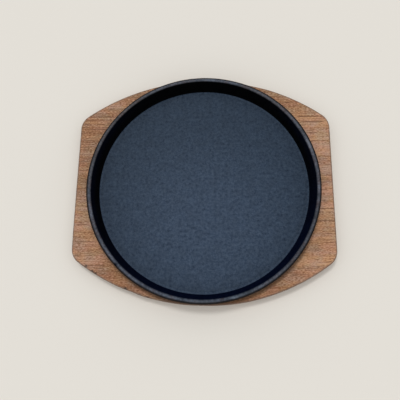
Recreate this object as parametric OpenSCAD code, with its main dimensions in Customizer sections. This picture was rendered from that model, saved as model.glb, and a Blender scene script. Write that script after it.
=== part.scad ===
// Round cast iron grill plate, seated in the recess of its fitted wooden board.
// Millimetres. The origin is the centre of the board's underside, +Z up, and the
// grain and the long side of the board run along X.

/* [Cast iron plate] */
// Diameter across the outside of the rim
rim_d = 240; // [180:1:320]
// Height from the underside of the plate to the top of its lip
plate_h = 18.5; // [14:0.5:30]
// Thickness of the cooking floor
floor_t = 3.8; // [3:0.1:6]
// Width of the lip, and so of the wall below it
lip_w = 5; // [4:0.5:8]
// Lean of the wall out of the vertical, in degrees
wall_lean = 18.4; // [8:0.2:30]
// Rounding on the outside of the lip
lip_outer_round = 2; // [0.5:0.1:2.4]
// Rounding on the inside of the lip
lip_inner_round = 0.6; // [0.3:0.1:1.5]
// Fillet between the cooking floor and the wall
floor_fillet = 1.2; // [0.5:0.1:6]
// Rounding of the corner between the underside and the wall
base_round = 4; // [1:0.5:6]

/* [Wooden board] */
// Thickness of the board
board_t = 12; // [11:0.5:25]
// Wood left beside the recess, at the straight left and right sides
side_wall = 15.9; // [12:0.1:50]
// Wood left in front of the recess and behind it, at the narrowest place
end_wall = 3.5; // [3:0.1:30]
// Radius of the curved front and back ends
end_r = 214; // [190:1:400]
// Radius of the four corners, seen from above
corner_r = 17.6; // [6:0.2:30]
// Rounding of the top and bottom edges
edge_round = 1.2; // [0.5:0.1:2.5]

/* [Seat] */
// Depth of the recess that the plate stands in
recess_depth = 7.7; // [4:0.1:9]
// Clearance round the plate's wall at the mouth of the recess
seat_gap = 0.8; // [0.4:0.1:3]
// Bevel on the mouth of the recess
recess_bevel = 0.6; // [0.2:0.1:1]

/* [Hidden] */

// Steps in a rounding of the plate's section, and of the board's edges
plate_steps = 8;
edge_steps = 5;
// Facets in a whole turn of a corner, and of the curve of an end
corner_fn = 48;
end_fn = 144;
$fn = 180;

// Plate: radii of the rim, of the inside of the lip and of the cooking floor
rim_r = rim_d / 2;
lip_r = rim_r - lip_w;
lean = tan(wall_lean);
floor_r = lip_r - (plate_h - floor_t) * lean;
// The outer wall starts where it meets the rounding of the lip, and ends on the underside
wall_top = [rim_r - lip_outer_round * (1 - cos(wall_lean)),
            plate_h - lip_outer_round * (1 + sin(wall_lean))];
base_r = outer_wall_r(0);

// Board: the recess follows the plate's wall, and the outline follows the recess
seat_z = board_t - recess_depth;
recess_r = outer_wall_r(recess_depth) + seat_gap;
half_w = recess_r + side_wall;
half_d = recess_r + end_wall;
// Distance from the board's middle to the centre of an end's curve
end_offset = end_r - half_d;
// Centre of a corner, and the angle at which the corner runs into the end's curve
corner_x = half_w - corner_r;
end_reach = sqrt(pow(end_r - corner_r, 2) - pow(corner_x, 2));
corner_y = end_reach - end_offset;
corner_angle = atan2(end_reach, corner_x);
// How far cutting shapes stand out past a face
cut_clear = 1;

// Radius of the plate's outer wall at a height above its underside
function outer_wall_r(z) = wall_top[0] - (wall_top[1] - z) * lean;

// Points of a rounding of radius r about centre c, from angle a to angle b
function rounding(c, r, a, b, steps = plate_steps) =
    [for (i = [0:steps]) c + r * [cos(a + (b - a) * i / steps),
                                  sin(a + (b - a) * i / steps)]];

// Sideways distance from the corner of a level face and the leaning wall to the
// centre of a rounding of radius r that touches both
function lean_inset(r) = r * (1 - sin(wall_lean)) / cos(wall_lean);

// Half of the plate's section, from the axis outwards and round the rim back to the axis
module plate_section() {
    base_centre = [base_r - lean_inset(base_round), base_round];
    outer_centre = [rim_r - lip_outer_round, plate_h - lip_outer_round];
    inner_centre = [lip_r + lean_inset(lip_inner_round), plate_h - lip_inner_round];
    fillet_centre = [floor_r - lean_inset(floor_fillet), floor_t + floor_fillet];
    polygon(concat(
        [[0, 0]],
        rounding(base_centre, base_round, -90, -wall_lean),
        rounding(outer_centre, lip_outer_round, -wall_lean, 90),
        rounding(inner_centre, lip_inner_round, 90, 180 - wall_lean),
        rounding(fillet_centre, floor_fillet, -wall_lean, -90),
        [[0, floor_t]]
    ));
}

// Section of a strip of board of width w, with its outer edges rounded over
module edge_section(w) {
    polygon(concat(
        [[0, 0]],
        rounding([w - edge_round, edge_round], edge_round, -90, 0, edge_steps),
        rounding([w - edge_round, board_t - edge_round], edge_round, 0, 90, edge_steps),
        [[0, board_t]]
    ));
}

// Round corner with its edges rounded over
module corner_disc() {
    rotate_extrude($fn = corner_fn)
        edge_section(corner_r);
}

// Curved strip along the back end, from corner to corner
module end_strip() {
    translate([0, -end_offset, 0])
        rotate([0, 0, corner_angle])
            rotate_extrude(angle = 180 - 2 * corner_angle, $fn = end_fn)
                translate([end_r - corner_r, 0])
                    edge_section(corner_r);
}

// The board before its recess is cut: the four corners and both curved ends, with
// the straight sides stretched between the corners
module board_blank() {
    hull() {
        for (side = [-1, 1], end = [-1, 1])
            translate([side * corner_x, end * corner_y, 0]) corner_disc();
        for (end = [0, 1])
            mirror([0, end, 0]) end_strip();
    }
}

// The recess with its bevelled mouth
module recess() {
    translate([0, 0, seat_z])
        cylinder(r = recess_r, h = recess_depth + cut_clear);
    translate([0, 0, board_t - recess_bevel])
        cylinder(r1 = recess_r, r2 = recess_r + recess_bevel + cut_clear,
                 h = recess_bevel + cut_clear);
}

module grill_plate() {
    color("#343f4e")
        translate([0, 0, seat_z])
            rotate_extrude()
                plate_section();
}

module wooden_board() {
    color("#96704f")
        difference() {
            board_blank();
            recess();
        }
}

grill_plate();
wooden_board();
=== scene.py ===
"""Looks of a round cast iron grill plate, seated in the recess of its wooden board.

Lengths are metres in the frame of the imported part: the origin is the centre of the
board's underside, +Z is up, and the grain of the board runs along X.
"""

import logging
import math
from dataclasses import dataclass
from enum import Enum
from functools import cached_property

import bpy
import numpy as np
from mathutils import Euler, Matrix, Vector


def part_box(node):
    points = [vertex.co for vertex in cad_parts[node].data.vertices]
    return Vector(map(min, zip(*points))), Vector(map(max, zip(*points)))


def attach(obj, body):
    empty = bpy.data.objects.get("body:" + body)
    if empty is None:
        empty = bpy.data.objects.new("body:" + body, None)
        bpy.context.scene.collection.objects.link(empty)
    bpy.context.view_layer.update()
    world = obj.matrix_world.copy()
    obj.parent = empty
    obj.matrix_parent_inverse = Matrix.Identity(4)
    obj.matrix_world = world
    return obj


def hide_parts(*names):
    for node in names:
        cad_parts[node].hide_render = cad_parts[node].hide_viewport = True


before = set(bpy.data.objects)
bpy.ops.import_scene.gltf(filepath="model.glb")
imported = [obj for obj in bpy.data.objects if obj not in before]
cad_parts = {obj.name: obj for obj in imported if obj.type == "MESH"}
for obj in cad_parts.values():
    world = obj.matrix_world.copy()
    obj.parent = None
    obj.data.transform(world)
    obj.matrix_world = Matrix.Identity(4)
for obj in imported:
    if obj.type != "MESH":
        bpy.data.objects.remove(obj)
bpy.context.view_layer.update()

LOG = logging.getLogger("grill_plate")
MM = 0.001
QUARTER_TURN = math.pi / 2
# Span that holds most values of a noise
NOISE_SPAN = (0.3, 0.7)

Pair = tuple[float, float]
Triple = tuple[float, float, float]
Colour = Triple
Socket = bpy.types.NodeSocket
Array = np.ndarray


class Zone(Enum):
    """Part of the casting's surface, and its mark in the layer that the finish reads."""

    FLOOR = (1.0, 0.0, 0.0)
    LIP = (0.0, 1.0, 0.0)
    OUTSIDE = (0.0, 0.0, 1.0)
    WALL = (0.0, 0.0, 0.0)


@dataclass(frozen=True)
class Pattern:
    """Smooth noise: the size of its grains, its start in grains, and its finer layers."""

    size: Triple
    shift: Triple = (0.0, 0.0, 0.0)
    detail: float = 2.0
    roughness: float = 0.5


class Graph:
    """Adds nodes to one node tree, and joins them while they are made."""

    def __init__(self, tree: bpy.types.NodeTree) -> None:
        """Take over the tree of a material, a world or a group, and empty it."""
        self.tree = tree
        tree.nodes.clear()

    def feed(self, socket: Socket, value: object) -> None:
        """Give an input its value, or join it to another node's output.

        Args:
            socket: The input.
            value: A constant, such as a colour's three channels, or the output that feeds it.
        """
        if isinstance(value, Socket):
            self.tree.links.new(value, socket)
        else:
            socket.default_value = (*value, 1.0) if socket.type == "RGBA" else value

    def add(self, kind: str, inputs: dict | None = None, **settings: object) -> bpy.types.Node:
        """Add a node.

        Args:
            kind: The node's type without its "ShaderNode" prefix.
            inputs: Values or outputs for its inputs, by name or number.
            settings: Values for its properties.

        Returns:
            The node.
        """
        node = self.tree.nodes.new("ShaderNode" + kind)
        for name, value in settings.items():
            setattr(node, name, value)
        for key, value in (inputs or {}).items():
            self.feed(node.inputs[key], value)
        return node

    def math(self, operation: str, a: object, b: object = 0.0, clamp: bool = False) -> Socket:
        """Return the result of a named operation on two values, held in 0 to 1 by clamp."""
        node = self.add("Math", {0: a, 1: b}, operation=operation, use_clamp=clamp)
        return node.outputs[0]

    def remap(self, value: object, low: float, high: float, to: Pair = (0.0, 1.0)) -> Socket:
        """Return a value eased from the span low to high onto another span.

        Args:
            value: The output to map.
            low: Value that becomes to[0].
            high: Value that becomes to[1].
            to: The new span.

        Returns:
            The output, held inside the new span.
        """
        node = self.add(
            "MapRange",
            {"Value": value, "From Min": low, "From Max": high, "To Min": to[0], "To Max": to[1]},
            interpolation_type="SMOOTHSTEP",
        )
        return node.outputs["Result"]

    def mix(self, share: object, a: object, b: object, blend: str = "MIX") -> Socket:
        """Return a mix of two colours.

        Args:
            share: How much of the second colour is used, 0 to 1.
            a: First colour or output.
            b: Second colour or output.
            blend: Name of the Mix node's way of mixing.

        Returns:
            The colour output.
        """
        node = self.add("Mix", {0: share}, data_type="RGBA", blend_type=blend)
        colours = [socket for socket in node.inputs if socket.type == "RGBA"]
        for socket, value in zip(colours, (a, b)):
            self.feed(socket, value)
        return next(socket for socket in node.outputs if socket.type == "RGBA")

    def shade(self, colour: object, factor: object) -> Socket:
        """Return a colour with each channel multiplied by a factor."""
        node = self.add("VectorMath", {0: colour, "Scale": factor}, operation="SCALE")
        return node.outputs[0]

    def noise(self, points: Socket, scale: object, detail: float = 2.0,
              roughness: float = 0.5) -> Socket:
        """Return smooth noise of about 0.2 to 0.8, with scale lumps to a unit of the points."""
        inputs = {"Vector": points, "Scale": scale, "Detail": detail, "Roughness": roughness}
        return self.add("TexNoise", inputs).outputs[0]


def new_object(name: str, data: bpy.types.ID) -> bpy.types.Object:
    """Put a new object in the scene, at the origin.

    Args:
        name: Name of the object.
        data: Its mesh, lamp or camera.

    Returns:
        The object.
    """
    thing = bpy.data.objects.new(name, data)
    bpy.context.scene.collection.objects.link(thing)
    return thing


class Group(Graph):
    """A new shader node group, with its named inputs and outputs."""

    def __init__(self, name: str, inputs: dict[str, str], outputs: dict[str, str]) -> None:
        """Start the group.

        Args:
            name: Name of the group.
            inputs: Kind of each input socket by its name, such as "Float".
            outputs: Kind of each output socket by its name.
        """
        super().__init__(bpy.data.node_groups.new(name, "ShaderNodeTree"))
        for way, sockets in (("INPUT", inputs), ("OUTPUT", outputs)):
            for label, kind in sockets.items():
                kind = "NodeSocket" + kind
                self.tree.interface.new_socket(label, in_out=way, socket_type=kind)
        self.given = self.tree.nodes.new("NodeGroupInput").outputs
        self.wanted = self.tree.nodes.new("NodeGroupOutput").inputs


class Effects:
    """Node groups that more than one finish places, each built once."""

    fineness: float = 3.1
    pit_span: Pair = (0.40, 0.27)
    border_span: Pair = (0.25, 0.75)

    @cached_property
    def speckle(self) -> bpy.types.NodeTree:
        """Build the group of fine lumps and pits, from Points and Size to Height and Pits.

        Two layers of noise, one of the given size and one three times finer, are averaged
        into a height. The lowest places of the first are the pits.

        Returns:
            The group.
        """
        group = Group("speckle", {"Points": "Vector", "Size": "Float"},
                      {"Height": "Float", "Pits": "Float"})
        points, size = group.given["Points"], group.given["Size"]
        per_metre = group.math("DIVIDE", 1.0, size)
        coarse = group.noise(points, per_metre, roughness=0.6)
        fine = group.noise(points, group.math("MULTIPLY", per_metre, self.fineness), detail=1.0)
        height = group.math("MULTIPLY", group.math("ADD", coarse, fine), 0.5)
        group.feed(group.wanted["Height"], height)
        group.feed(group.wanted["Pits"], group.remap(coarse, *self.pit_span))
        return group.tree

    @cached_property
    def ragged(self) -> bpy.types.NodeTree:
        """Build the group that breaks up a Mask's border at Points, in lumps of a Size.

        The mask is moved up or down by noise and then steepened.

        Returns:
            The group, with the output Mask.
        """
        group = Group("ragged edge", {"Points": "Vector", "Mask": "Float", "Size": "Float"},
                      {"Mask": "Float"})
        points, mask, size = (group.given[name] for name in ("Points", "Mask", "Size"))
        lumps = group.noise(points, group.math("DIVIDE", 1.0, size), 3.0, 0.6)
        moved = group.math("ADD", mask, group.math("SUBTRACT", lumps, 0.5))
        group.feed(group.wanted["Mask"], group.remap(moved, *self.border_span))
        return group.tree


class Surface(Graph):
    """The nodes of a new material, which reads its piece's Object coordinates."""

    def __init__(self, name: str, effects: Effects) -> None:
        """Start the material.

        Args:
            name: Name of the material.
            effects: The shared node groups.
        """
        self.material = bpy.data.materials.new(name)
        self.material.use_nodes = True
        super().__init__(self.material.node_tree)
        self.points = self.add("TexCoord").outputs["Object"]
        self.place = self.add("SeparateXYZ", {0: self.points}).outputs
        self.effects = effects

    def marks(self, layer: str) -> list[Socket]:
        """Return the three channels of the piece's colour attribute."""
        colours = self.add("Attribute", attribute_name=layer).outputs["Color"]
        return self.add("SeparateColor", {0: colours}).outputs[:3]

    def closeness(self, middle: Triple, far: float, near: float) -> Socket:
        """Return 1 up to the near distance from a place, eased to 0 at the far distance."""
        away = self.add("VectorMath", {0: self.points, 1: middle}, operation="DISTANCE")
        return self.remap(away.outputs["Value"], far, near)

    def along(self, way: Triple) -> Socket:
        """Return how far the points lie along a way from the origin, as a dot product."""
        reach = self.add("VectorMath", {0: self.points, 1: way}, operation="DOT_PRODUCT")
        return reach.outputs["Value"]

    def off_axis(self) -> Socket:
        """Return the distance of the points from the upright axis."""
        level = self.add("CombineXYZ", {"X": self.place["X"], "Y": self.place["Y"]}).outputs[0]
        return self.add("VectorMath", {0: level}, operation="LENGTH").outputs["Value"]

    def grained(self, pattern: Pattern, points: Socket | None = None) -> Socket:
        """Return the noise of a pattern, read at the points divided by its grains' size.

        Args:
            pattern: The pattern.
            points: Where it is read, if not at the piece's own points.

        Returns:
            The value output.
        """
        scale = tuple(1.0 / length for length in pattern.size)
        inputs = {"Vector": points or self.points, "Location": pattern.shift, "Scale": scale}
        counted = self.add("Mapping", inputs).outputs[0]
        return self.noise(counted, 1.0, pattern.detail, pattern.roughness)

    def speckle(self, size: float) -> tuple[Socket, Socket]:
        """Return the height and the pits of fine lumps of a size."""
        inputs = {"Points": self.points, "Size": size}
        return self.add("Group", inputs, node_tree=self.effects.speckle).outputs[:2]

    def ragged(self, mask: Socket, size: float) -> Socket:
        """Return a mask with its border broken up, in lumps of a size."""
        inputs = {"Points": self.points, "Mask": mask, "Size": size}
        return self.add("Group", inputs, node_tree=self.effects.ragged).outputs[0]

    def finish(self, inputs: dict, height: Socket | None = None,
               relief: Pair = (0.0, 0.0)) -> bpy.types.Material:
        """Add the shader, with a bump where a height is given, and join it to the output.

        Args:
            inputs: Values or outputs for the shader's inputs.
            height: The bump's height.
            relief: The bump's distance and its strength.

        Returns:
            The material.
        """
        if height is not None:
            settings = {"Height": height, "Distance": relief[0], "Strength": relief[1]}
            inputs = {**inputs, "Normal": self.add("Bump", settings).outputs[0]}
        shader = self.add("BsdfPrincipled", inputs)
        self.add("OutputMaterial", {"Surface": shader.outputs[0]})
        return self.material


@dataclass(frozen=True)
class PaintedLipLight:
    """Stretch of the lip with a painted highlight or painted shade, lighter or darker by its cast:
    bearing in degrees, and reach in millimetres.

    It starts at the far distance from its middle, and is full at the near one.
    """

    bearing: float
    far: float
    near: float
    cast: Colour


@dataclass(frozen=True)
class SeasonedIron:
    """Matt seasoned casting: blue-grey on the floor and lip, with a painted sheen on the floor,
    painted highlights and shade on the lip, and near-black painted shade on the wall.
    """

    name: str = "seasoned_cast_iron"
    grain_size: float = 2.8 * MM
    grain_span: Pair = (0.32, 0.68)
    dark_grain: Colour = (0.51, 0.60, 0.70)
    light_grain: Colour = (1.49, 1.40, 1.30)
    pit_shade: float = 0.74
    blotches: Pattern = Pattern((9.0 * MM,) * 3, detail=3.0, roughness=0.55)
    blotch_shades: Pair = (0.92, 1.08)
    # The bump's distance and strength
    relief: Pair = (0.05 * MM, 0.6)
    roughness: Pair = (0.62, 0.82)
    # Share of the seasoned film on the floor, the lip and the outside
    film_shares: Triple = (0.15, 0.30, 0.12)
    film_roughness: float = 0.5
    outside_colour: Colour = (0.0135, 0.0115, 0.0120)
    # Painted sheen: the floor is lighter round one place, from the far distance to the near one
    floor_colour: Colour = (0.0246, 0.0402, 0.0660)
    sheen_colour: Colour = (0.0370, 0.0574, 0.0940)
    sheen_middle: Triple = (0.003, -0.048, 0.008)
    sheen_reach: Pair = (0.135, 0.020)
    # Radii where the darker ring starts, is full, starts to fade and has faded out
    ring_radii: tuple[float, ...] = (103.8 * MM, 106.6 * MM, 107.4 * MM, 108.1 * MM)
    ring_gaps: Pattern = Pattern((1 / 28,) * 3, detail=1.0)
    ring_span: Pair = (0.35, 0.60)
    ring_darkening: float = 0.10
    fillet_lightening: float = 0.12
    # Painted light: the wall is near-black painted shade, darker than the iron's own colour, and it
    # is bluer along one way and high up at the back, a painted reflection
    shaded_wall_colour: Colour = (0.0016, 0.0018, 0.0022)
    reflecting_wall_colour: Colour = (0.0018, 0.0036, 0.0130)
    blue_way: Triple = (0.3, -1.0, 0.0)
    blue_span: Pair = (-0.03, 0.13)
    high_span: Pair = (0.011, 0.021)
    high_blue: float = 0.35
    back_span: Pair = (0.11, 0.05)
    # The lip has violet places, bright places that are partly rubbed and partly painted highlight,
    # and painted shade that darkens it along one way
    lip_colour: Colour = (0.0373, 0.0432, 0.0572)
    violet_colour: Colour = (0.0510, 0.0421, 0.0485)
    violet: Pattern = Pattern((1 / 110,) * 3, detail=1.0)
    violet_span: Pair = (0.42, 0.60)
    bright_colour: Colour = (0.0848, 0.0968, 0.1255)
    bright: Pattern = Pattern((1 / 80,) * 3)
    bright_border: float = 1.8 * MM
    front_way: Triple = (0.5, -0.87, 0.0)
    front_span: Pair = (0.050, 0.115)
    painted_front_shade: Pair = (1.0, 0.85)
    lip_grain: float = 0.60
    lip_blotch_span: Pair = (0.35, 0.65)
    lip_blotches: Pair = (0.90, 1.10)
    # Radius and height of the painted highlights and shade on the lip
    lip_place: Pair = (117.5 * MM, 22.8 * MM)
    painted_lip_lights: tuple[PaintedLipLight, ...] = (
        PaintedLipLight(18, 42, 14, (1.27, 1.25, 1.22)),
        PaintedLipLight(54, 34, 10, (0.87, 0.81, 0.75)),
        PaintedLipLight(78, 24, 8, (1.05, 1.10, 1.13)),
        PaintedLipLight(90, 22, 7, (0.88, 0.90, 0.91)),
        PaintedLipLight(131, 26, 8, (0.95, 0.83, 0.72)),
        PaintedLipLight(142, 18, 6, (1.18, 1.10, 1.04)),
        PaintedLipLight(158.6, 62, 24, (0.79, 0.73, 0.68)),
        PaintedLipLight(169, 20, 6, (0.85, 0.87, 0.89)),
        PaintedLipLight(184, 24, 8, (1.08, 1.11, 1.15)),
        PaintedLipLight(200, 20, 6, (0.92, 0.92, 0.92)),
        PaintedLipLight(230, 20, 6, (1.10, 1.08, 1.06)),
        PaintedLipLight(241, 20, 6, (0.88, 0.88, 0.89)),
        # The wide bluer stretch along the front is a painted reflection
        PaintedLipLight(255, 150, 60, (0.945, 1.010, 1.075)),
        PaintedLipLight(259, 18, 6, (1.11, 1.15, 1.16)),
        PaintedLipLight(270, 20, 6, (0.87, 0.85, 0.81)),
        PaintedLipLight(290, 26, 8, (1.17, 1.22, 1.18)),
        PaintedLipLight(330, 55, 20, (0.90, 0.89, 0.88)),
    )

    def build(self, effects: Effects) -> bpy.types.Material:
        """Write the material.

        Args:
            effects: The shared node groups.

        Returns:
            The material.
        """
        iron = Surface(self.name, effects)
        floor, lip, outside = iron.marks("zones")
        height, pits = iron.speckle(self.grain_size)
        blotches = iron.grained(self.blotches)
        colour = self.wall_tone(iron)
        colour = iron.mix(floor, colour, self.floor_tone(iron))
        colour = iron.mix(outside, colour, self.outside_colour)
        colour = iron.mix(lip, colour, self.lip_tone(iron, blotches))
        grain = iron.mix(iron.remap(height, *self.grain_span), self.dark_grain, self.light_grain)
        strength = iron.remap(lip, 0.0, 1.0, (1.0, self.lip_grain))
        colour = iron.mix(strength, colour, grain, "MULTIPLY")
        colour = iron.shade(colour, iron.remap(blotches, *NOISE_SPAN, self.blotch_shades))
        colour = iron.shade(colour, iron.remap(pits, 0.0, 1.0, (1.0, self.pit_shade)))
        film = 0.0
        for zone, share in zip((floor, lip, outside), self.film_shares):
            film = iron.math("ADD", iron.math("MULTIPLY", zone, share), film)
        roughness = iron.remap(height, *NOISE_SPAN, self.roughness)
        inputs = {"Base Color": colour, "Roughness": roughness, "Specular IOR Level": 0.0,
                  "Coat Weight": film, "Coat Roughness": self.film_roughness}
        return iron.finish(inputs, height, self.relief)

    def floor_tone(self, iron: Surface) -> Socket:
        """Return the colour of the cooking floor, lighter round one place with a painted sheen.

        A broken darker ring lies near the wall. It ends at the fillet, which is paler.

        Args:
            iron: The material's nodes.

        Returns:
            The colour output.
        """
        # Painted sheen: lighter round one place of the floor
        wear_and_sheen = iron.closeness(self.sheen_middle, *self.sheen_reach)
        tone = iron.mix(wear_and_sheen, self.floor_colour, self.sheen_colour)
        reach = iron.off_axis()
        first, full, last, bare = self.ring_radii
        tone_shift = iron.math("MULTIPLY", iron.remap(reach, first, full), iron.remap(reach, bare, last))
        broken = iron.remap(iron.grained(self.ring_gaps), *self.ring_span)
        tone_shift = iron.math("MULTIPLY", tone_shift, iron.math("MULTIPLY", broken, self.ring_darkening))
        lightened = iron.math("MULTIPLY", iron.remap(reach, last, bare), self.fillet_lightening)
        return iron.shade(tone, iron.math("ADD", iron.math("SUBTRACT", 1.0, tone_shift), lightened))

    def wall_tone(self, iron: Surface) -> Socket:
        """Return the colour of the wall: near-black painted shade, with a bluer painted reflection.

        Args:
            iron: The material's nodes.

        Returns:
            The colour output.
        """
        bluer = iron.remap(iron.along(self.blue_way), *self.blue_span)
        upper = iron.remap(iron.place["Z"], *self.high_span, (0.0, self.high_blue))
        upper = iron.math("MULTIPLY", upper, iron.remap(iron.place["Y"], *self.back_span))
        bluer = iron.math("MAXIMUM", bluer, upper)
        return iron.mix(bluer, self.shaded_wall_colour, self.reflecting_wall_colour)

    def lip_tone(self, iron: Surface, blotches: Socket) -> Socket:
        """Return the colour of the lip, with painted highlights and painted shade.

        Args:
            iron: The material's nodes.
            blotches: The noise of the broad blotches.

        Returns:
            The colour output.
        """
        violet = iron.remap(iron.grained(self.violet), *self.violet_span)
        tone = iron.mix(violet, self.lip_colour, self.violet_colour)
        bright = iron.ragged(iron.grained(self.bright), self.bright_border)
        tone = iron.mix(bright, tone, self.bright_colour)
        # Painted shade: the lip darkens along the front way
        front = iron.along(self.front_way)
        tone = iron.shade(tone, iron.remap(front, *self.front_span, self.painted_front_shade))
        tone = iron.shade(tone, iron.remap(blotches, *self.lip_blotch_span, self.lip_blotches))
        radius, height = self.lip_place
        # Painted highlights and shade round the lip, and a bluer painted reflection at the front
        for tone_shift in self.painted_lip_lights:
            turn = math.radians(tone_shift.bearing)
            middle = (radius * math.cos(turn), radius * math.sin(turn), height)
            share = iron.closeness(middle, tone_shift.far * MM, tone_shift.near * MM)
            tone = iron.mix(share, tone, tone_shift.cast, "MULTIPLY")
        return tone


@dataclass(frozen=True)
class GrainLine:
    """Dark line of the grain: middle, half length and half width in millimetres, and strength."""

    x: float
    y: float
    reach: float
    width: float
    strength: float = 0.9


@dataclass(frozen=True)
class Patch:
    """Lighter or darker place of the face: place and reach in millimetres, change of tone."""

    x: float
    y: float
    far: float
    near: float
    change: float


@dataclass(frozen=True)
class ReddishWood:
    """Satin reddish brown wood with fine straight grain, and edges darkened by use."""

    name: str = "reddish_brown_wood"
    # The three colours of the grain, and the tones at which they stand
    dark_colour: Colour = (0.176, 0.069, 0.022)
    middle_colour: Colour = (0.338, 0.180, 0.098)
    light_colour: Colour = (0.506, 0.298, 0.190)
    tones: Triple = (0.425, 0.50, 0.575)
    waves: Pattern = Pattern((0.20, 0.045, 0.045), detail=1.0)
    wave_height: float = 6.0 * MM
    broad: Pattern = Pattern((0.12, 0.014, 0.014))
    broad_strength: float = 0.14
    long_lines: Pattern = Pattern((0.090, 0.0008, 0.0008), (56.0, 49.0, 50.0), roughness=0.6)
    fibres: Pattern = Pattern((0.0024, 0.0008, 0.0008), detail=1.0, roughness=0.6)
    # From front to back the lines and the fibres grow stronger
    calm_span: Pair = (-0.040, 0.060)
    line_strengths: Pair = (0.26, 0.39)
    fibre_strengths: Pair = (0.36, 0.43)
    # Two slow patterns shift the hue from one cast to the other
    redness: Pattern = Pattern((0.016, 0.0075, 0.0075), (2.0, 53.0, 39.0))
    red_cast: Colour = (1.053, 0.969, 0.900)
    grey_cast: Colour = (0.948, 1.028, 1.090)
    yellowness: Pattern = Pattern((0.016, 0.0075, 0.0075), (12.0, 36.0, 37.0))
    yellow_cast: Colour = (1.000, 1.011, 0.914)
    rosy_cast: Colour = (1.000, 0.989, 1.088)
    hue_span: Pair = (0.36, 0.64)
    pores: Pattern = Pattern((0.012, 0.0010, 0.0010), (9.0, 4.0, 2.0), detail=0.0)
    pore_span: Pair = (0.34, 0.26)
    pore_strength: float = 0.6
    pore_colour: Colour = (0.108, 0.040, 0.011)
    # Darker wood round the plate, strongest in front: partly scorch, partly painted shadow of the
    # plate's rim
    scorch_and_shadow_colour: Colour = (0.112, 0.052, 0.021)
    scorch_and_shadow_reach: Pair = (126.0 * MM, 119.5 * MM)
    scorch_and_shadow_front: Pair = (-0.03, -0.09)
    scorch_and_shadow_border: float = 4.0 * MM
    scorch_and_shadow_strength: float = 0.75
    end_grain_colour: Colour = (0.270, 0.142, 0.080)
    end_grain_size: float = 0.9 * MM
    end_grain_span: Pair = (0.36, 0.64)
    end_grain_tones: Pair = (0.64, 1.12)
    edge_colour: Colour = (0.152, 0.100, 0.073)
    edge_border: float = 3.0 * MM
    edge_strength: float = 0.75
    chip_colour: Colour = (0.026, 0.019, 0.016)
    fibre_relief: float = 0.5
    relief: Pair = (0.10 * MM, 0.5)
    roughness: Pair = (0.50, 0.66)
    specular: float = 0.3
    face_height: float = 12 * MM
    patches: tuple[Patch, ...] = (
        Patch(125, 0, 130, 50, 0.023),
        Patch(-118, 70, 80, 20, -0.022),
        Patch(-124, -54, 40, 15, 0.020),
        # The next two darker places, in front of the plate, are painted shadow of the plate's rim
        Patch(-80, -102, 44, 10, -0.032),
        Patch(86, -96, 30, 8, -0.020),
        Patch(-104, 88, 26, 8, 0.022),
        Patch(112, 52, 24, 8, 0.020),
        Patch(128, 2, 26, 10, 0.018),
        Patch(116, -47, 22, 8, -0.014),
    )
    # The dark lines wobble, and are full over this share of their length
    wobble: Pattern = Pattern((0.010, 0.02, 0.02))
    wobble_height: float = 0.8 * MM
    full_share: float = 0.6
    lines: tuple[GrainLine, ...] = (
        GrainLine(126.5, -23.3, 9, 0.6),
        GrainLine(124.8, -35.7, 11, 0.7),
        GrainLine(122.6, -55, 11, 0.7, 0.6),
        GrainLine(104.5, -83.9, 12, 0.5, 0.75),
        GrainLine(96.4, -89.8, 10, 0.5),
        GrainLine(111.2, 78, 13, 0.8),
        GrainLine(116, 72, 14, 0.9),
        GrainLine(-125.1, -40.5, 7, 0.7),
        GrainLine(-107.6, -82.4, 11, 0.6),
        GrainLine(-111.7, 70.6, 6, 0.6),
        GrainLine(-110.1, 80, 10, 0.5),
        GrainLine(-104.3, -85.4, 6, 0.6),
        GrainLine(121.4, 50.5, 9, 0.5, 0.7),
        GrainLine(-122, 52, 10, 0.7),
        GrainLine(-118.7, 64.5, 13, 0.6, 0.8),
        GrainLine(-120.4, -58.5, 12, 0.7),
        GrainLine(-121.6, -54, 10, 0.5, 0.5),
        GrainLine(-127, -20.5, 6, 0.6, 0.7),
        GrainLine(-127.6, -10.5, 6, 0.6, 0.7),
        GrainLine(-127.9, -2, 6, 0.6, 0.7),
        GrainLine(-127.2, 18, 6, 0.7, 0.8),
        GrainLine(-125.8, 31.5, 7, 0.6, 0.7),
        GrainLine(-98.1, 88.5, 13, 0.6, 0.7),
        GrainLine(126.6, 24.5, 6, 0.6, 0.7),
        GrainLine(127.5, 14, 6, 0.6, 0.4),
        GrainLine(89.4, 94.5, 11, 0.6, 0.6),
    )

    def build(self, effects: Effects) -> bpy.types.Material:
        """Write the material.

        Args:
            effects: The shared node groups.

        Returns:
            The material.
        """
        wood = Surface(self.name, effects)
        wandering = self.moved(wood, self.waves, self.wave_height)
        lines = wood.grained(self.long_lines, wandering)
        fibres = wood.grained(self.fibres)
        layers = {"broad": wood.grained(self.broad, wandering), "lines": lines, "fibres": fibres}
        colour = self.paint(wood, layers)
        for pattern, first, second in ((self.redness, self.red_cast, self.grey_cast),
                                       (self.yellowness, self.yellow_cast, self.rosy_cast)):
            hue = wood.remap(wood.grained(pattern), *self.hue_span)
            colour = wood.mix(1.0, colour, wood.mix(hue, first, second), "MULTIPLY")
        pores = wood.grained(self.pores, wandering)
        pores = wood.remap(pores, *self.pore_span, (0.0, self.pore_strength))
        colour = wood.mix(pores, colour, self.pore_colour)
        colour = wood.mix(self.dark_lines(wood), colour, self.pore_colour)
        colour = wood.mix(self.scorch_and_shadow(wood), colour, self.scorch_and_shadow_colour)

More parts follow.
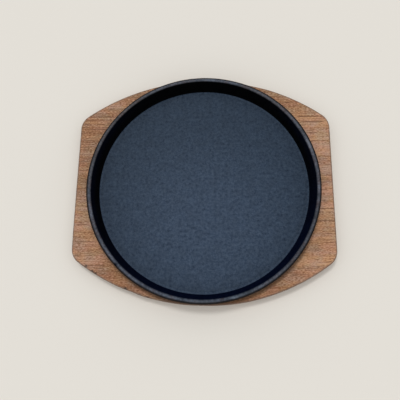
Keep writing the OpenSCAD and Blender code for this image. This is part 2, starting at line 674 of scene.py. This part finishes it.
        edge, chip, across = wood.marks("wear")
        spots = wood.speckle(self.end_grain_size)[0]
        spots = wood.remap(spots, *self.end_grain_span, self.end_grain_tones)
        colour = wood.mix(across, colour, wood.shade(self.end_grain_colour, spots))
        wear_and_sheen = wood.math("MULTIPLY", wood.ragged(edge, self.edge_border), self.edge_strength)
        colour = wood.mix(wear_and_sheen, colour, self.edge_colour)
        colour = wood.mix(chip, colour, self.chip_colour)
        height = wood.math("SUBTRACT", wood.math("MULTIPLY", fibres, self.fibre_relief), pores)
        roughness = wood.remap(lines, *NOISE_SPAN, self.roughness)
        inputs = {"Base Color": colour, "Roughness": roughness,
                  "Specular IOR Level": self.specular}
        return wood.finish(inputs, height, self.relief)

    def moved(self, wood: Surface, pattern: Pattern, height: float) -> Socket:
        """Return the points moved along Y by a pattern less a half, times a height.

        Args:
            wood: The material's nodes.
            pattern: The pattern.
            height: How far the pattern's 1 lies from its 0.

        Returns:
            The vector output.
        """
        swing = wood.math("SUBTRACT", wood.grained(pattern), 0.5)
        sideways = wood.add("CombineXYZ", {"Y": wood.math("MULTIPLY", swing, height)})
        inputs = {0: wood.points, 1: sideways.outputs[0]}
        return wood.add("VectorMath", inputs, operation="ADD").outputs[0]

    def paint(self, wood: Surface, layers: dict[str, Socket]) -> Socket:
        """Return the colour of the grain, dark for a low tone and light for a high one.

        The tone is the sum of the layers by their strengths, and of the patches.

        Args:
            wood: The material's nodes.
            layers: The layers of noise, by name.

        Returns:
            The colour output.
        """
        strengths = {
            "broad": self.broad_strength,
            "lines": wood.remap(wood.place["Y"], *self.calm_span, self.line_strengths),
            "fibres": wood.remap(wood.place["Y"], *self.calm_span, self.fibre_strengths),
        }
        tone = 0.5
        for name, layer in layers.items():
            swing = wood.math("SUBTRACT", layer, 0.5)
            tone = wood.math("ADD", wood.math("MULTIPLY", swing, strengths[name]), tone)
        for patch in self.patches:
            middle = (patch.x * MM, patch.y * MM, self.face_height)
            share = wood.closeness(middle, patch.far * MM, patch.near * MM)
            tone = wood.math("ADD", tone, wood.math("MULTIPLY", share, patch.change))
        node = wood.add("ValToRGB", {0: tone})
        elements = node.color_ramp.elements
        elements.new(self.tones[1])
        colours = (self.dark_colour, self.middle_colour, self.light_colour)
        for element, position, colour in zip(elements, self.tones, colours):
            element.position = position
            element.color = (*colour, 1.0)
        return node.outputs[0]

    def scorch_and_shadow(self, wood: Surface) -> Socket:
        """Return the mask of the wood darkened in front of the plate: partly scorch, partly painted
        shadow of the plate's rim.

        It is strongest at the plate and at the front, and its border is ragged.

        Args:
            wood: The material's nodes.

        Returns:
            The value output.
        """
        near = wood.remap(wood.off_axis(), *self.scorch_and_shadow_reach)
        front = wood.remap(wood.place["Y"], *self.scorch_and_shadow_front, (0.0, self.scorch_and_shadow_strength))
        broken = wood.ragged(near, self.scorch_and_shadow_border)
        return wood.math("MULTIPLY", wood.math("MULTIPLY", broken, near), front)

    def dark_lines(self, wood: Surface) -> Socket:
        """Return the mask of the few dark grain lines that stand out.

        Each line is strongest on its middle, and fades out along X and Y.

        Args:
            wood: The material's nodes.

        Returns:
            The value output.
        """
        place = wood.add("SeparateXYZ", {0: self.moved(wood, self.wobble, self.wobble_height)})
        mask = 0.0
        for line in self.lines:
            along = wood.math("ABSOLUTE", wood.math("SUBTRACT", place.outputs["X"], line.x * MM))
            across = wood.math("ABSOLUTE", wood.math("SUBTRACT", place.outputs["Y"], line.y * MM))
            reach = line.reach * MM
            one = wood.math("MULTIPLY", wood.remap(along, reach, self.full_share * reach),
                            wood.remap(across, line.width * MM, 0.0))
            mask = wood.math("MAXIMUM", mask, wood.math("MULTIPLY", one, line.strength))
        return mask


def arc(centre: Pair, radius: float, start: float, stop: float, steps: int) -> Array:
    """Return points on an arc: the centre plus the radius times (cosine, sine) of the angle."""
    angles = np.linspace(start, stop, steps + 1)
    return np.array(centre) + radius * np.column_stack([np.cos(angles), np.sin(angles)])


def straight(start: Array, stop: Array, steps: int) -> Array:
    """Return evenly spaced points between two others, both left out."""
    share = np.linspace(0.0, 1.0, steps + 1)[1:-1, None]
    return (1.0 - share) * np.asarray(start) + share * np.asarray(stop)


def closed_surface(name: str, rings: Array, poles: Array, layer: str,
                   marks: Array) -> bpy.types.Object:
    """Put a closed surface through rings of points into a new object.

    A face joins points j and j + 1 of one ring to the same points of the next ring. A fan
    of triangles round a pole closes the first ring, and another one the last ring.

    Args:
        name: Name of the object.
        rings: Points, as rings by points by 3.
        poles: The pole before the first ring and the one after the last, 2 by 3.
        layer: Name of the colour attribute that the finish reads.
        marks: Its values, as rings by points by 3.

    Returns:
        The object.
    """
    count, around = rings.shape[:2]
    points = np.concatenate([rings.reshape(-1, 3), poles])
    here = np.arange(around)
    ahead = np.roll(here, -1)
    base = (np.arange(count - 1) * around)[:, None]
    corners = [base + here, base + ahead, base + around + ahead, base + around + here]
    quads = np.stack(corners, axis=-1).reshape(-1, 4)
    first, last = count * around, count * around + 1
    top = (count - 1) * around
    start_fan = np.column_stack([np.full(around, first), ahead, here])
    end_fan = np.column_stack([np.full(around, last), top + here, top + ahead])
    mesh = bpy.data.meshes.new(name)
    mesh.from_pydata(points, [], quads.tolist() + start_fan.tolist() + end_fan.tolist())
    mesh.shade_smooth()
    values = np.concatenate([marks.reshape(-1, 3), marks[[0, -1], 0]])
    values = np.column_stack([values, np.ones(len(values))]).astype(np.float32)
    attribute = mesh.attributes.new(layer, "FLOAT_COLOR", "POINT")
    attribute.data.foreach_set("color", values.ravel())
    return new_object(name, mesh)


def shares(steps: int) -> Array:
    """Return even shares from 0 to 1 for a stack of rings."""
    return np.linspace(0.0, 1.0, steps + 1)[:, None, None]


def bell(distance: Array) -> Array:
    """Return the bell curve: e to the power of minus the distance squared."""
    return np.exp(-np.square(distance))


@dataclass
class CastPlate:
    """The round grill plate, one iron casting: floor, leaning wall and lip."""

    rim_radius: float = 120 * MM
    height: float = 18.5 * MM
    floor_thickness: float = 3.8 * MM
    lip_width: float = 5 * MM
    wall_lean: float = math.radians(18.4)
    lip_outer_round: float = 2.0 * MM
    lip_inner_round: float = 0.6 * MM
    floor_fillet: float = 1.2 * MM
    base_round: float = 4 * MM
    # Distances in from the rim where the lip's lighter finish starts, is full, fades and ends; it
    # is narrowed to the crown's highlight band, so it is partly the lip's own colour and partly a
    # painted highlight
    crown: tuple[float, ...] = (5.2 * MM, 3.6 * MM, 2.5 * MM, 1.4 * MM)
    # Steps of the section's nine stretches, from the underside to the floor
    steps: tuple[int, ...] = (14, 12, 12, 16, 12, 8, 16, 10, 30)
    # Points of the fillet that take the wall's near-black painted shade
    black_fillet: int = 7
    around: int = 720
    skin_depth: float = 0.05 * MM
    skin_swing: float = 0.25
    wave_depth: float = 0.10 * MM
    wave_turns: tuple[int, int] = (3, 36)
    uneven_reach: float = 9.0 * MM
    nick_angle: float = math.radians(-135.9)
    # Distances of the nick in from the rim and down from the lip
    nick_place: Pair = (1.4 * MM, 0.2 * MM)
    nick_size: float = 1.7 * MM
    nick_depth: float = 1.2 * MM
    # How far the rim stands out at each bearing, in degrees and millimetres
    rim_reach: float = 2.5 * MM
    rim_errors: tuple[Pair, ...] = (
        (0, 0.0), (20, 0.4), (40, 0.6), (60, 0.35), (80, 0.0), (125, 0.0), (140, -0.35),
        (155, 0.1), (180, 0.4), (200, 0.35), (225, 0.0), (300, -0.2), (340, -0.3), (360, 0.0),
    )
    seed: int = 7
    finish: SeasonedIron = SeasonedIron()

    def inset(self, radius: float) -> float:
        """Distance from a corner of wall and level face to a rounding's centre."""
        return radius * (1.0 - math.sin(self.wall_lean)) / math.cos(self.wall_lean)

    def section(self) -> tuple[Array, Array]:
        """Work out half of the plate's section, from the axis out, up and back to the axis.

        The wall leans by the tangent of its angle, and each rounding touches both of its
        neighbours.

        Returns:
            The points (radius and height over the underside), and the share of each zone
            of the finish at each point.
        """
        lean, slope = self.wall_lean, math.tan(self.wall_lean)
        lip_radius = self.rim_radius - self.lip_width
        floor_radius = lip_radius - (self.height - self.floor_thickness) * slope
        wall_radius = self.rim_radius - self.lip_outer_round * (1.0 - math.cos(lean))
        wall_height = self.height - self.lip_outer_round * (1.0 + math.sin(lean))
        base_radius = wall_radius - wall_height * slope
        outer_centre = (self.rim_radius - self.lip_outer_round, self.height - self.lip_outer_round)
        inner_centre = (lip_radius + self.inset(self.lip_inner_round),
                        self.height - self.lip_inner_round)
        fillet_centre = (floor_radius - self.inset(self.floor_fillet),
                         self.floor_thickness + self.floor_fillet)
        base_centre = (base_radius - self.inset(self.base_round), self.base_round)

        (n_under, n_base, n_outer, n_shoulder, n_lip,
         n_brow, n_inner, n_fillet, n_floor) = self.steps
        base = arc(base_centre, self.base_round, -QUARTER_TURN, -lean, n_base)
        shoulder = arc(outer_centre, self.lip_outer_round, -lean, QUARTER_TURN, n_shoulder)
        brow = arc(inner_centre, self.lip_inner_round, QUARTER_TURN, math.pi - lean, n_brow)
        fillet = arc(fillet_centre, self.floor_fillet, -lean, -QUARTER_TURN, n_fillet)
        stretches = (
            (straight((0.0, 0.0), base[0], n_under), Zone.OUTSIDE),
            (base, Zone.OUTSIDE),
            (straight(base[-1], shoulder[0], n_outer), Zone.OUTSIDE),
            (shoulder, Zone.OUTSIDE),
            (straight(shoulder[-1], brow[0], n_lip), Zone.LIP),
            (brow, Zone.WALL),
            (straight(brow[-1], fillet[0], n_inner), Zone.WALL),
            (fillet[:self.black_fillet], Zone.WALL),
            (fillet[self.black_fillet:], Zone.FLOOR),
            (straight(fillet[-1], (0.0, self.floor_thickness), n_floor), Zone.FLOOR),
        )
        points = np.concatenate([part for part, _ in stretches])
        counts = [len(part) for part, _ in stretches]
        marks = np.repeat(np.array([zone.value for _, zone in stretches]), counts, axis=0)
        padded = np.pad(marks, ((1, 1), (0, 0)), mode="edge")
        marks = (padded[:-2] + 2.0 * marks + padded[2:]) / 4.0
        crown = self.rim_radius - np.array(self.crown)
        crown = np.interp(points[:, 0], crown, (0.0, 1.0, 1.0, 0.0))
        crown *= points[:, 1] > self.height - self.lip_inner_round
        marks[:, 0] *= 1.0 - crown
        return points, np.column_stack([marks[:, 0], crown, marks[:, 2]])

    def unevenness(self, points: Array, angles: Array) -> Array:
        """Work out how far the as-cast skin lies under the true surface.

        Slow waves are a sum of cosines of whole numbers of turns, and the fine skin is
        seeded noise, averaged over its neighbours. Both fade out on the floor and on the
        underside, which stay flat.

        Args:
            points: The section's points.
            angles: The angle of each point round the rim.

        Returns:
            The depths, as points of the section by angles.
        """
        draw = np.random.default_rng(self.seed)
        turns = np.arange(*self.wave_turns)
        phases = draw.uniform(0.0, 2.0 * math.pi, len(turns))
        waves = (np.cos(turns * angles[:, None] + phases) / np.sqrt(turns)).sum(axis=1)
        waves = (waves - waves.min()) / (waves.max() - waves.min())
        skin = draw.normal(size=(len(points), len(angles)))
        for axis in (0, 1):
            skin = (skin + np.roll(skin, 1, axis) + np.roll(skin, -1, axis)) / 3.0
        skin = np.clip(skin / skin.std() * self.skin_swing + 0.5, 0.0, 1.0)
        upright = bell((points[:, 0] - self.rim_radius) / self.uneven_reach)[:, None]
        return upright * (self.wave_depth * waves[None, :] + self.skin_depth * skin)

    def build(self) -> bpy.types.Object:
        """Turn the section round the axis, and press the unevenness and the nick into it.

        A point is (radius times cosine, radius times sine, height) of its angle, and each
        depth is taken off along the section's normal. The rim is not quite round: its
        outer side moves outwards by the error at its bearing.

        Returns:
            The finished object, standing in the recess.
        """
        points, zone_marks = self.section()
        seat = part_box("grill_plate")[0].z
        angles = np.linspace(0.0, 2.0 * math.pi, self.around, endpoint=False)
        along = np.gradient(points, axis=0)
        normals = np.column_stack([along[:, 1], -along[:, 0]])
        normals /= np.linalg.norm(normals, axis=1)[:, None]
        depth = self.unevenness(points, angles)

        corner = np.array([self.rim_radius, self.height]) - self.nick_place
        turned = np.angle(np.exp(1j * (angles - self.nick_angle))) * self.rim_radius
        off_corner = np.linalg.norm(points - corner, axis=1)
        nick = bell(off_corner / self.nick_size)[:, None] * bell(turned / self.nick_size)[None, :]
        depth = depth + self.nick_depth * nick

        known, errors = np.array(self.rim_errors).T
        oval = np.interp(np.degrees(angles), known, errors) * MM
        oval = bell((points[:, :1] - self.rim_radius) / self.rim_reach) * oval

        radii = points[:, :1] - normals[:, :1] * depth + oval
        heights = points[:, 1:] - normals[:, 1:] * depth
        rings = np.stack([radii * np.cos(angles), radii * np.sin(angles), heights + seat], axis=-1)
        poles = np.array([[0.0, 0.0, seat], [0.0, 0.0, seat + self.floor_thickness]])
        # The nick takes the wall's near-black painted shade in place of the lip's and the outside's
        # finish
        marks = zone_marks[:, None, :] * (1.0 - nick[:, :, None])
        return closed_surface("plate_casting", rings, poles, "zones", marks)

    def dress(self, piece: bpy.types.Object, effects: Effects) -> None:
        """Give the casting its finish, hang it from the root body, and hide the imported part that
        it stands for.

        Args:
            piece: The casting.
            effects: The shared node groups.
        """
        piece.data.materials.append(self.finish.build(effects))
        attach(piece, "root")
        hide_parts("grill_plate")


@dataclass(frozen=True)
class Nick:
    """Small dent in the board's upper edge: place, size and depth in millimetres."""

    x: float
    y: float
    size: float
    depth: float


@dataclass
class FittedBoard:
    """The barrel-shaped wooden board, one piece of wood with a round recess."""

    end_radius: float = 214 * MM
    corner_radius: float = 17.6 * MM
    edge_round: float = 1.2 * MM
    recess_radius: float = 117.98 * MM
    recess_depth: float = 7.7 * MM
    recess_bevel: float = 0.6 * MM
    around: int = 1240
    # Steps of a quarter of the outline: half a side, a corner and half an end
    outline_steps: tuple[int, int, int] = (200, 200, 600)
    # Steps of the edge: its lower rounding, its side and its upper rounding
    edge_steps: tuple[int, int, int] = (7, 8, 10)
    flat_steps: int = 13
    face_steps: int = 15
    face_crowding: float = 1.4
    bevel_steps: int = 3
    wall_steps: int = 5
    worn_band: float = 2.6 * MM
    worn_drop: float = 2.0
    worn_below: float = 0.8
    # End grain shows least and most by these shares, and most from this lean to the sides
    end_grain_shares: Pair = (0.55, 0.90)
    end_grain_lean: float = 0.3
    end_grain_fade: float = 1.0 * MM
    # How far the edge stands out at each bearing, in degrees and millimetres
    outline_errors: tuple[Pair, ...] = (
        (0, 0.0), (27, 0.0), (36, 0.4), (57, 0.4), (66, 0.0), (180, 0.0), (200, -0.2),
        (216, -1.1), (231, -1.2), (237, -1.5), (243, -0.8), (270, -1.0), (290, -0.1), (360, 0.0),
    )
    finish: ReddishWood = ReddishWood()
    nick_fall: float = 0.7
    nicks: tuple[Nick, ...] = (
        Nick(-117.4, -83.1, 1.0, 0.9),
        Nick(-111.1, -88.7, 1.2, 1.1),
        Nick(-107.3, -90.5, 0.9, 0.8),
        Nick(-76.2, -105.2, 1.1, 1.0),
        Nick(-62.2, -111.1, 1.0, 0.4),
        Nick(-54.0, -114.2, 1.4, 1.2),
    )

    def outline(self, half_width: float, half_depth: float) -> tuple[Array, Array]:
        """Work out the board's outline and the outward direction at each point.

        A quarter of it is a straight side, a corner arc and half an end arc, which touch
        each other. It is mirrored to the other three quarters, and points are then set
        at even steps along the whole length. Last, each point moves outwards by the
        error of the real outline at its bearing.

        Args:
            half_width: From the middle to the straight side.
            half_depth: From the middle to the top of the end's curve.

        Returns:
            The points and the directions, each as points by 2, anticlockwise.
        """
        corner_x = half_width - self.corner_radius
        end_y = half_depth - self.end_radius
        reach = math.sqrt((self.end_radius - self.corner_radius) ** 2 - corner_x ** 2)
        corner_y = end_y + reach
        turn = math.atan2(reach, corner_x)
        n_side, n_corner, n_end = self.outline_steps
        corner = arc((corner_x, corner_y), self.corner_radius, 0.0, turn, n_corner)
        end = arc((0.0, end_y), self.end_radius, turn, QUARTER_TURN, n_end)
        side = straight((half_width, 0.0), corner[0], n_side)
        quarter = np.concatenate([side, corner, end[1:]])
        directions = np.concatenate([
            np.tile([1.0, 0.0], (len(side), 1)),
            (corner - [corner_x, corner_y]) / self.corner_radius,
            (end[1:] - [0.0, end_y]) / self.end_radius,
        ])
        both = np.hstack([quarter, directions])
        half = np.concatenate([both, both[-2::-1] * [-1, 1, -1, 1]])
        whole = np.concatenate([half, half[::-1] * [1, -1, 1, -1]])
        closing = np.concatenate([whole, whole[:1]])
        gaps = np.linalg.norm(np.diff(closing[:, :2], axis=0), axis=1)
        length = np.insert(np.cumsum(gaps), 0, 0)
        places = np.linspace(0.0, length[-1], self.around, endpoint=False)
        even = np.column_stack([np.interp(places, length, column) for column in closing.T])
        bearings = np.degrees(np.arctan2(even[:, 1], even[:, 0])) % 360.0
        known, errors = np.array(self.outline_errors).T
        moved = np.interp(bearings, known, errors) * MM
        return even[:, :2] + even[:, 2:] * moved[:, None], even[:, 2:]

    def build(self) -> bpy.types.Object:
        """Carry the outline over the edges and down into the recess.

        Each ring is either the outline, moved inwards along its directions and then
        shrunk towards the middle, or a circle of the recess at the same bearings.

        Returns:
            The finished object.
        """
        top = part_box("wooden_board")[1]
        edge, outward = self.outline(top.x, top.y)
        bearing = edge / np.linalg.norm(edge, axis=1)[:, None]
        inner = edge - outward * self.edge_round
        n_low, n_side, n_high = self.edge_steps
        low = arc((self.edge_round, self.edge_round), self.edge_round, -QUARTER_TURN, 0.0, n_low)
        high_centre = (self.edge_round, top.z - self.edge_round)
        high = arc(high_centre, self.edge_round, 0.0, QUARTER_TURN, n_high)
        profile = np.concatenate([low, straight(low[-1], high[0], n_side), high])
        mouth = bearing * (self.recess_radius + self.recess_bevel)
        hole = bearing * self.recess_radius
        seat = top.z - self.recess_depth

        under = shares(self.flat_steps)[1:-1] * inner
        over = edge - outward * (2.0 * self.edge_round - profile[:, 0])[:, None, None]
        share = shares(self.face_steps)[1:] ** self.face_crowding
        face = (1.0 - share) * inner + share * mouth
        fall = shares(self.bevel_steps)[1:]
        bevel = (1.0 - fall) * mouth + fall * hole
        wall = np.repeat(hole[None], self.wall_steps, axis=0)
        floor = (1.0 - shares(self.flat_steps)[1:-1]) * hole
        flat = np.concatenate([under, over, face, bevel, wall, floor])
        heights = np.concatenate([
            np.zeros(len(under)), profile[:, 1], np.full(len(face), top.z),
            top.z - self.recess_bevel * fall[:, 0, 0],
            np.linspace(top.z - self.recess_bevel, seat, self.wall_steps + 1)[1:],
            np.full(len(floor), seat),
        ])
        upright = np.broadcast_to(heights[:, None, None], (*flat.shape[:2], 1))
        rings = np.concatenate([flat, upright], axis=-1)
        outside = len(under) + len(over) + len(face)
        inset = np.linalg.norm(flat - edge, axis=2)
        drop = np.clip(top.z - self.edge_round - heights, 0.0, None)[:, None]
        wear_and_sheen = np.clip(1.0 - (inset + self.worn_drop * drop) / self.worn_band, 0.0, 1.0)
        below = 1.0 - (inset + heights[:, None]) / self.worn_band
        wear_and_sheen = np.maximum(wear_and_sheen, np.clip(below, 0.0, self.worn_below))
        wear_and_sheen[outside:] = 1.0
        sideways = np.abs(outward[:, 0])
        cut_across = np.interp(sideways, (0.0, self.end_grain_lean), self.end_grain_shares)
        side = np.clip(drop / self.end_grain_fade, 0.0, 1.0) * (inset < self.edge_round)
        chipped = np.zeros(rings.shape[:2])
        for nick in self.nicks:
            off = np.linalg.norm(rings - [nick.x * MM, nick.y * MM, top.z], axis=2)
            press = bell(off / (nick.size * MM))
            rings[:, :, :2] -= (nick.depth * MM * press)[:, :, None] * outward
            rings[:, :, 2] -= self.nick_fall * nick.depth * MM * press
            chipped = np.maximum(chipped, np.sqrt(press) * nick.depth / nick.size)
        marks = np.stack([wear_and_sheen, chipped, side * cut_across], axis=-1)
        poles = np.array([[0.0, 0.0, 0.0], [0.0, 0.0, seat]])
        return closed_surface("board_wood", rings, poles, "wear", marks)

    def dress(self, piece: bpy.types.Object, effects: Effects) -> None:
        """Give the board its finish, hang it from the root body, and hide the imported part that it
        stands for.

        Args:
            piece: The board.
            effects: The shared node groups.
        """
        piece.data.materials.append(self.finish.build(effects))
        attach(piece, "root")
        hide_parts("wooden_board")


@dataclass(frozen=True)
class Studio:
    """Plain pale floor, soft light from above and behind, and the camera."""

    floor_colour: Colour = (0.772, 0.740, 0.682)
    floor_radius: float = 12.0
    floor_corners: int = 96
    floor_roughness: float = 0.9
    floor_drop: float = 0.05 * MM
    sky_level: float = 0.76
    key_level: float = 0.24
    key_towards: Triple = (-0.165, 0.385, 1.0)
    key_spread: float = math.radians(12.0)
    camera_place: Triple = (0.01788, -0.12756, 0.45679)
    # Degrees about X, Y and Z
    camera_turn: Triple = (14.273, 2.621, 0.017)
    lens: float = 40.035
    sensor_width: float = 36.0

    def lay_floor(self, effects: Effects) -> None:
        """Lay the floor under the board, a disc with its points on a circle.

        Args:
            effects: The shared node groups.
        """
        angles = np.linspace(0.0, 2.0 * math.pi, self.floor_corners, endpoint=False)
        rim = self.floor_radius * np.column_stack([np.cos(angles), np.sin(angles)])
        points = np.column_stack([rim, np.full(len(rim), -self.floor_drop)])
        mesh = bpy.data.meshes.new("floor")
        mesh.from_pydata(points, [], [list(range(len(points)))])
        inputs = {"Base Color": self.floor_colour,
                  "Roughness": self.floor_roughness, "Specular IOR Level": 0.0}
        mesh.materials.append(Surface("pale_floor", effects).finish(inputs))
        floor = new_object("floor", mesh)

    def light(self) -> None:
        """Light the object: an even sky, which shows as the floor's colour, and one lamp.

        The two levels add up to 1 on a level surface, so a colour renders as written.
        """
        world = bpy.data.worlds.new("studio")
        bpy.context.scene.world = world
        world.use_nodes = True
        graph = Graph(world.node_tree)
        rays = graph.add("LightPath").outputs
        seen = graph.math("ADD", rays["Is Camera Ray"], rays["Is Glossy Ray"])
        seen = graph.math("ADD", seen, rays["Is Transmission Ray"], clamp=True)
        even = graph.add("Background", {"Color": (1.0, 1.0, 1.0), "Strength": self.sky_level})
        shown = graph.add("Background", {"Color": self.floor_colour, "Strength": 1.0})
        chosen = graph.add("MixShader", {0: seen, 1: even.outputs[0], 2: shown.outputs[0]})
        graph.add("OutputWorld", {"Surface": chosen.outputs[0]})

        lamp = bpy.data.lights.new("soft_key", "SUN")
        towards = np.array(self.key_towards) / np.linalg.norm(self.key_towards)
        lamp.energy = self.key_level * math.pi / towards[2]
        lamp.angle = self.key_spread
        bearing = math.atan2(towards[1], towards[0]) + QUARTER_TURN
        key = new_object("soft_key", lamp)
        key.rotation_euler = (math.acos(towards[2]), 0.0, bearing)

    def place_camera(self) -> None:
        """Set the camera at the photograph's angle."""
        data = bpy.data.cameras.new("camera")
        data.lens = self.lens
        data.sensor_width = self.sensor_width
        camera = new_object("camera", data)
        camera.location = self.camera_place
        turn = Euler([math.radians(angle) for angle in self.camera_turn], "ZYX")
        camera.rotation_euler = turn.to_matrix().to_euler("XYZ")
        bpy.context.scene.camera = camera


def report(piece: bpy.types.Object) -> None:
    """Log a finished piece with its size and its number of triangles.

    Args:
        piece: The piece.
    """
    piece.data.calc_loop_triangles()
    size = tuple(round(length / MM, 1) for length in piece.dimensions)
    LOG.info("%s: %s mm, %d triangles", piece.name, size, len(piece.data.loop_triangles))


def main() -> None:
    """Build the plate and its board, dress them, and set up the studio."""
    logging.basicConfig(level=logging.INFO, format="%(message)s")
    studio = Studio()
    studio.place_camera()
    effects = Effects()
    for part in (CastPlate(), FittedBoard()):
        piece = part.build()
        part.dress(piece, effects)
        report(piece)
    studio.lay_floor(effects)
    studio.light()
    bpy.context.scene.view_settings.view_transform = "Standard"
    bpy.context.view_layer.update()


if __name__ == "__main__":
    main()
